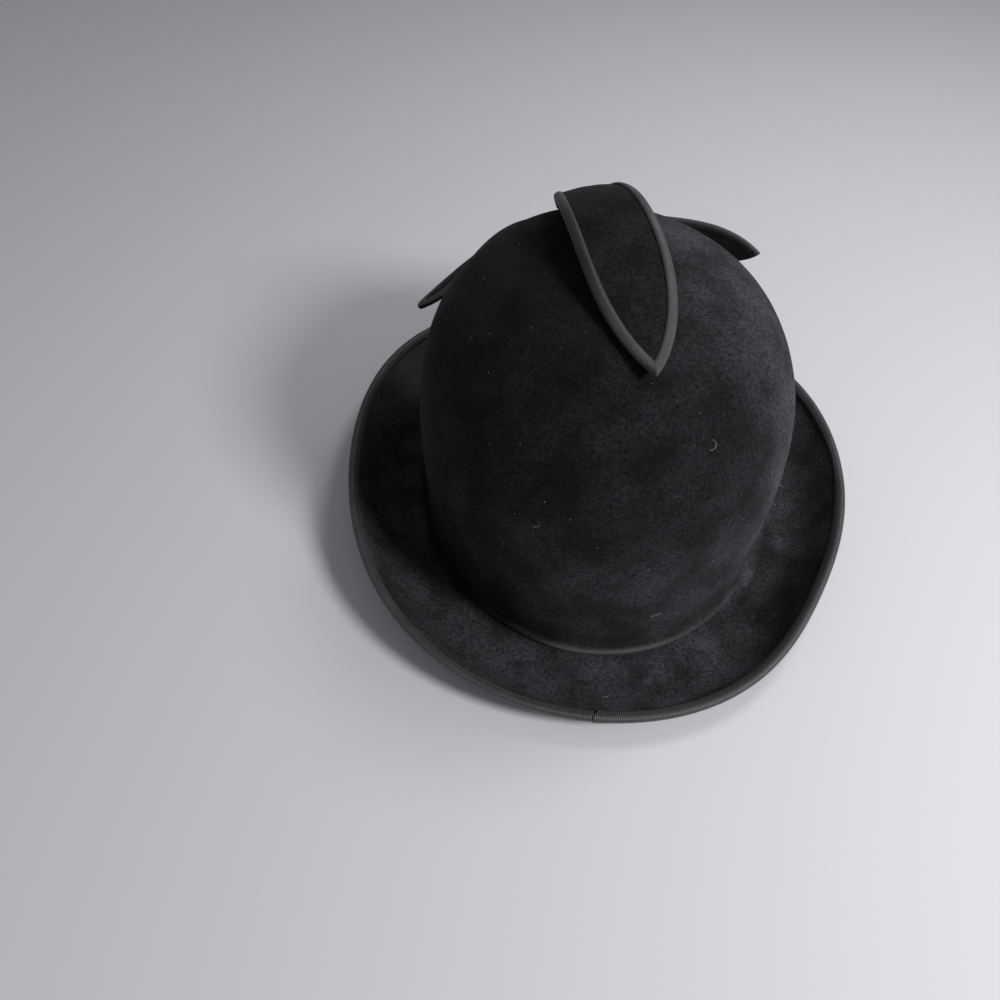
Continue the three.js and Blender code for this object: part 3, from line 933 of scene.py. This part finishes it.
# A petal's felt is a closed tube of flat sections: across the top from side to side, round the cut edge
# and back underneath. The sections close to a point at the root and at the tip.
def makePetal(petal):
    bent, length = bender(petal)
    shares = (1 - np.cos(np.linspace(0, np.pi, petal["rows"] + 2)[1:-1])) / 2
    shares = shares * petalLook["shareRun"] + petalLook["firstShare"]
    x, half = leafPlace(petal, length, petalLook["edgeInset"], shares)
    across = np.sin(np.linspace(-1, 1, petalLook["columns"]) * np.pi / 2)
    columns = np.concatenate([across, across[::-1]])[None, :]
    thin = np.sqrt(np.maximum(1 - np.abs(columns) ** petalLook["edgePower"], petalLook["leastEdge"]))
    thin = thin * petalLook["wall"] / 2
    rise = np.concatenate([np.ones(len(across)), -np.ones(len(across))])[None, :] * thin
    points = bent(x[:, None], columns * half[:, None], rise)
    soft = sum(height * unevenness(points, scale, seed) for height, scale, seed in petalLook["unevenness"])
    fromEdge = half[:, None] * (1 - np.abs(columns))
    calm = np.clip((fromEdge - petalLook["calmEdge"]) / petalLook["calmFade"], 0, 1)
    points[..., 2] += soft * calm
    bounds = [leafPlace(petal, length, petalLook["edgeInset"], share)[0] for share in (0.0, 1.0)]
    ends = bent(np.array(bounds), 0.0, 0.0)
    rings, wide = points.shape[:2]
    everyPoint = np.concatenate([points.reshape(-1, 3), ends])
    ring = np.arange(wide)
    faces = [
        ringQuads(rings, wide),
        poleFan(rings * wide, ring, inwards=True),
        poleFan(rings * wide + 1, (rings - 1) * wide + ring),
    ]
    # Painted light on the underside: paler in both shares where it lies in shade.
    underside = np.tile(np.arange(wide) >= len(across), rings)
    pale = petal["paleUnder"] * np.append(underside, [0, 0])
    buildPiece(petal["name"] + "_felt", everyPoint, faces, felt, [petal["name"]],
               shares={"paleNapAndLight": petalLook["paleNapAndLight"] + pale, "wearAndPaintedLight": pale})


# A petal's binding is a closed loop round the leaf: up one side from the root to the tip, where it is
# mitred, and back down the other. Stations lie evenly along the leaf's edge, four to a rib.
def makePetalBinding(petal):
    bent, length = bender(petal)
    dense = (1 - np.cos(np.linspace(0, np.pi, fold["petalReadings"]))) / 2
    x, y = leafPlace(petal, length, 0.0, dense)
    way = np.concatenate([[0], np.cumsum(np.hypot(np.diff(x), np.diff(y)))])
    total = way[-1]
    perSide = int(total / ribbonLook["ribPitchMm"]) * fold["stepsPerRib"]
    run = np.linspace(0, total, perSide + 1)
    share = np.interp(run, way, dense)
    share = np.concatenate([share, share[-2:0:-1]])[:, None]
    run = np.concatenate([run, run[-2:0:-1]])[:, None]
    side = np.concatenate([np.ones(perSide + 1), -np.ones(perSide - 1)])[:, None]
    side[[0, perSide]] = 0    # the root and the tip lie on the middle line
    ribs = ribHeight(run)
    noLift = 0.0 * run
    rowInset, rowRise = ribbonRows(petalLook["wall"], fold["petalWidth"], fold["petalPress"], ribs, noLift)
    placeX, placeY = leafPlace(petal, length, rowInset, share)
    points = bent(placeX, side * placeY, rowRise)
    stations, columns = points.shape[:2]
    # Painted shade on one or both sides of the ribbon, between two shares of the petal's length.
    paintedShade = np.where(side > 0, petal["paintedShade"][0], petal["paintedShade"][1]) + 0 * rowInset
    paintedShade = paintedShade * ramp(share, petal["paintedShadeFrom"], petal["paintedShadeFrom"] + petalLook["paintedShadeFadeIn"])
    paintedShade = paintedShade * (1 - ramp(share, petal["paintedShadeTo"] - petalLook["paintedShadeFadeOut"], petal["paintedShadeTo"]))
    quads = ringQuads(stations, columns, loop=True)
    ribbonMap = np.stack([np.broadcast_to(run, rowInset.shape), rowInset / fold["petalWidth"]], -1)
    buildPiece(petal["name"] + "_ribbon", points.reshape(-1, 3), [quads], ribbon,
               [petal["name"] + "_binding"], ribbonMap.reshape(-1, 2), {"paintedShade": paintedShade.ravel()})


for petal in petals:
    makePetal(petal)
    makePetalBinding(petal)


# Floor and light

studio = {
    "floorColour": (0.80, 0.80, 0.825),
    "floorRoughness": 0.9,
    "floorSpecular": 0.2,
    "floorHalfSize": 6.0,
    "floorDrop": 0.00005,     # keeps the floor clear of the felt that lies flat on it
    "fillColour": (0.92, 0.94, 1.0),
    "fillStrength": 0.20,
}
# Angles are in degrees, distances and sizes in metres, and power in watts.
lamps = [
    {"name": "key", "azimuth": -42.0, "elevation": 43.0, "distance": 0.90, "size": 0.22, "power": 4.7},
    {"name": "back", "azimuth": 39.0, "elevation": 57.5, "distance": 1.00, "size": 0.30, "power": 1.9},
]


# A plain pale square.
def makeFloor():
    half = studio["floorHalfSize"]
    mesh = bpy.data.meshes.new("floor")
    level = -studio["floorDrop"]
    corners = [(-half, -half, level), (half, -half, level), (half, half, level), (-half, half, level)]
    mesh.from_pydata(corners, [], [(0, 1, 2, 3)])
    look = Look("paleFloor")
    look.set(Base_Color=(*studio["floorColour"], 1.0))
    look.set(Roughness=studio["floorRoughness"], Specular_IOR_Level=studio["floorSpecular"])
    mesh.materials.append(look.material)
    floor = bpy.data.objects.new("floor", mesh)
    bpy.context.scene.collection.objects.link(floor)


# Even light from all round, and disk lamps that face the hat.
def setLight():
    world = bpy.data.worlds.new("studio")
    bpy.context.scene.world = world
    world.use_nodes = True
    background = world.node_tree.nodes["Background"]
    background.inputs["Color"].default_value = (*studio["fillColour"], 1.0)
    background.inputs["Strength"].default_value = studio["fillStrength"]
    for lamp in lamps:
        data = bpy.data.lights.new(lamp["name"], "AREA")
        data.shape = "DISK"
        data.size = lamp["size"]
        data.energy = lamp["power"]
        azimuth = math.radians(lamp["azimuth"])
        elevation = math.radians(lamp["elevation"])
        light = bpy.data.objects.new(lamp["name"], data)
        level = math.cos(elevation)
        direction = np.array([level * math.cos(azimuth), level * math.sin(azimuth), math.sin(elevation)])
        light.location = direction * lamp["distance"]
        light.rotation_euler = (0, math.pi / 2 - elevation, azimuth)
        bpy.context.scene.collection.objects.link(light)


makeFloor()
setLight()
print("floor and light set")
